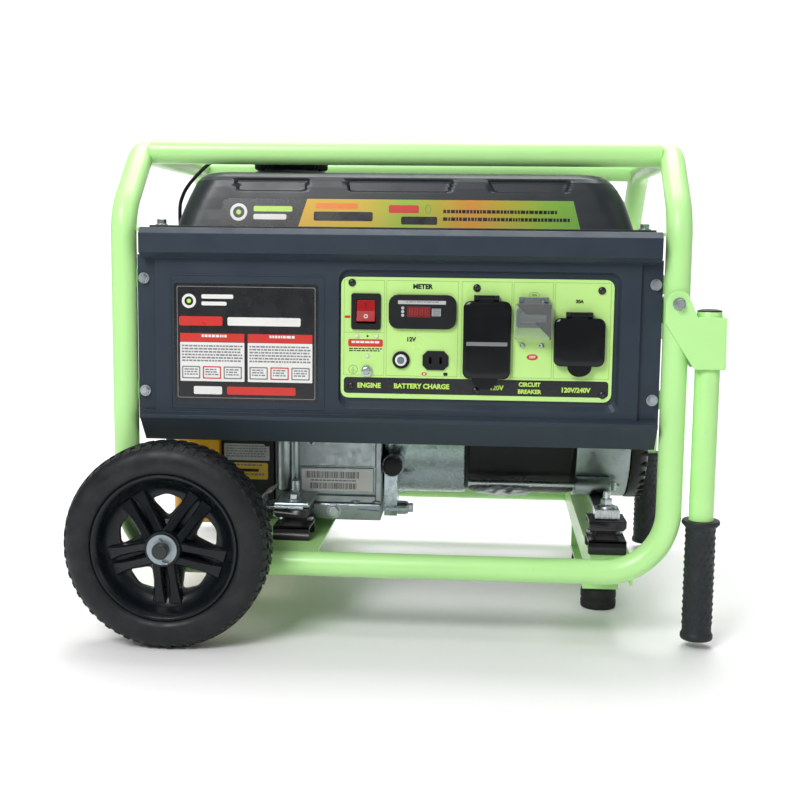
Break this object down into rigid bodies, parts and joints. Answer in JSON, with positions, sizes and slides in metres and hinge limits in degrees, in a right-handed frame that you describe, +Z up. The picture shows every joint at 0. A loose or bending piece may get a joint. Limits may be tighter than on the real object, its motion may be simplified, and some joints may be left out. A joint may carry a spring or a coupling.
{
  "type": "portable generator",
  "caption": "Open-frame portable generator with a tubular steel cradle, wheels at one end, folding handles at the other, fuel tank on top and a front control panel.",
  "frame": {"origin": "on the floor, under the middle of the machine's bounding box", "axes": "+Z up, -Y out of the control panel's face, -X towards the wheels, +X towards the handles"},
  "size_m": [0.7678, 0.684, 0.599],
  "materials": {
    "frame_paint": "satin",
    "plate_paint": "satin",
    "tank_paint": "satin",
    "housing_plastic": "fine texture",
    "black_plastic": "matte",
    "black_paint": "satin",
    "yellow_paint": "gloss",
    "red_plastic": "gloss",
    "grey_plastic": "matte",
    "clear_plastic": "clear moulding",
    "rubber": "matte",
    "tyre_rubber": "moulded tread",
    "zinc_steel": "zinc plated",
    "cast_aluminium": "as cast",
    "lamination_steel": "black lacquer"
  },
  "bodies": {
    "machine": {"frame_front_hoop": "frame_paint", "frame_rear_hoop": "frame_paint", "top_front_rail": "frame_paint", "top_rear_rail": "frame_paint", "top_left_tube": "frame_paint", "top_right_tube": "frame_paint", "left_crossmember": "frame_paint", "right_crossmember": "frame_paint", "front_foot": "rubber", "rear_foot": "rubber", "isolator_front_left": "rubber", "isolator_front_right": "rubber", "isolator_rear_left": "rubber", "isolator_rear_right": "rubber", "front_pivot_bolt": "zinc_steel", "rear_pivot_bolt": "zinc_steel", "fuel_tank": "tank_paint", "tank_vent_hose": "rubber", "panel_housing": "housing_plastic", "control_plate": "plate_paint", "switch_bezel": "black_plastic", "digital_meter": "black_plastic", "dc_socket": "black_plastic", "dc_breaker": "grey_plastic", "duplex_outlet": "black_plastic", "breaker_body": "black_plastic", "locking_outlet": "black_plastic", "crankcase": "cast_aluminium", "cylinder": "cast_aluminium", "fan_shroud": "black_paint", "fan_cover": "yellow_paint", "recoil_housing": "black_paint", "alternator_front_bell": "cast_aluminium", "stator": "lamination_steel", "alternator_end_bell": "cast_aluminium", "alternator_end_cover": "black_plastic", "air_filter": "black_plastic", "muffler": "zinc_steel", "muffler_guard": "black_paint"},
    "front_wheel": {"front_rim": "black_plastic", "front_tyre": "tyre_rubber"},
    "rear_wheel": {"rear_rim": "black_plastic", "rear_tyre": "tyre_rubber"},
    "front_fold_handle": {"front_handle": "frame_paint", "front_grip": "rubber"},
    "rear_fold_handle": {"rear_handle": "frame_paint", "rear_grip": "rubber"},
    "filler_cap": {"fuel_cap": "black_plastic"},
    "fuel_tap_lever": {"fuel_valve_lever": "black_plastic"},
    "engine_switch": {"switch_paddle": "red_plastic"},
    "meter_push_button": {"meter_button": "grey_plastic"},
    "dc_reset_button": {"dc_breaker_button": "black_plastic"},
    "duplex_flap": {"duplex_cover": "black_plastic"},
    "breaker_flap": {"breaker_cover": "clear_plastic"},
    "locking_flap": {"locking_cover": "black_plastic"},
    "main_breaker_toggle": {"breaker_toggle": "black_plastic"},
    "starter_handle": {"starter_grip": "rubber"},
    "oil_dipstick": {"dipstick": "black_plastic"},
    "choke": {"choke_lever": "zinc_steel"},
    "rotating_shaft": {"rotor_shaft": "zinc_steel"}
  },
  "joints": [
    {"name": "front_wheel_spin", "type": "hinge", "parent": "machine", "child": "front_wheel", "pos_m": [-0.26245, -0.299, 0.1215], "axis": [0, 1, 0], "continuous": true},
    {"name": "rear_wheel_spin", "type": "hinge", "parent": "machine", "child": "rear_wheel", "pos_m": [-0.26245, 0.299, 0.1215], "axis": [0, 1, 0], "continuous": true},
    {"name": "front_handle_fold", "type": "hinge", "parent": "machine", "child": "front_fold_handle", "pos_m": [0.32355, -0.245, 0.409], "axis": [0, -1, 0], "range_deg": [0, 68]},
    {"name": "rear_handle_fold", "type": "hinge", "parent": "machine", "child": "rear_fold_handle", "pos_m": [0.32355, 0.245, 0.409], "axis": [0, -1, 0], "range_deg": [0, 68]},
    {"name": "fuel_cap_turn", "type": "hinge", "parent": "machine", "child": "filler_cap", "pos_m": [-0.15045, -0.092, 0.58], "axis": [0, 0, 1], "range_deg": [0, 90]},
    {"name": "fuel_valve_turn", "type": "hinge", "parent": "machine", "child": "fuel_tap_lever", "pos_m": [-0.23545, -0.008, 0.408], "axis": [1, 0, 0], "range_deg": [0, 90]},
    {"name": "engine_switch_rock", "type": "hinge", "parent": "machine", "child": "engine_switch", "pos_m": [-0.03655, -0.25, 0.39455], "axis": [1, 0, 0], "range_deg": [0, 18]},
    {"name": "meter_button_push", "type": "slide", "parent": "machine", "child": "meter_push_button", "axis": [0, 1, 0], "range_m": [0, 0.0015]},
    {"name": "dc_breaker_push", "type": "slide", "parent": "machine", "child": "dc_reset_button", "axis": [0, 1, 0], "range_m": [0, 0.003]},
    {"name": "duplex_cover_open", "type": "hinge", "parent": "machine", "child": "duplex_flap", "pos_m": [0.10405, -0.2595, 0.4125], "axis": [-1, 0, 0], "range_deg": [0, 110]},
    {"name": "breaker_cover_open", "type": "hinge", "parent": "machine", "child": "breaker_flap", "pos_m": [0.15855, -0.2595, 0.4111], "axis": [-1, 0, 0], "range_deg": [0, 110]},
    {"name": "locking_cover_open", "type": "hinge", "parent": "machine", "child": "locking_flap", "pos_m": [0.21105, -0.2595, 0.3945], "axis": [-1, 0, 0], "range_deg": [0, 110]},
    {"name": "breaker_toggle_tip", "type": "hinge", "parent": "machine", "child": "main_breaker_toggle", "pos_m": [0.15855, -0.2525, 0.3895], "axis": [1, 0, 0], "range_deg": [0, 24]},
    {"name": "starter_pull", "type": "slide", "parent": "machine", "child": "starter_handle", "axis": [-1, 0, 0], "range_m": [0, 0.085]},
    {"name": "dipstick_turn", "type": "hinge", "parent": "machine", "child": "oil_dipstick", "pos_m": [-0.01345, -0.118, 0.187], "axis": [0, -1, 0], "range_deg": [0, 360]},
    {"name": "choke_turn", "type": "hinge", "parent": "machine", "child": "choke", "pos_m": [-0.17145, 0.2095, 0.322], "axis": [0, 1, 0], "range_deg": [0, 60]},
    {"name": "shaft_spin", "type": "hinge", "parent": "machine", "child": "rotating_shaft", "pos_m": [0, 0, 0.24], "axis": [1, 0, 0], "continuous": true}
  ]
}
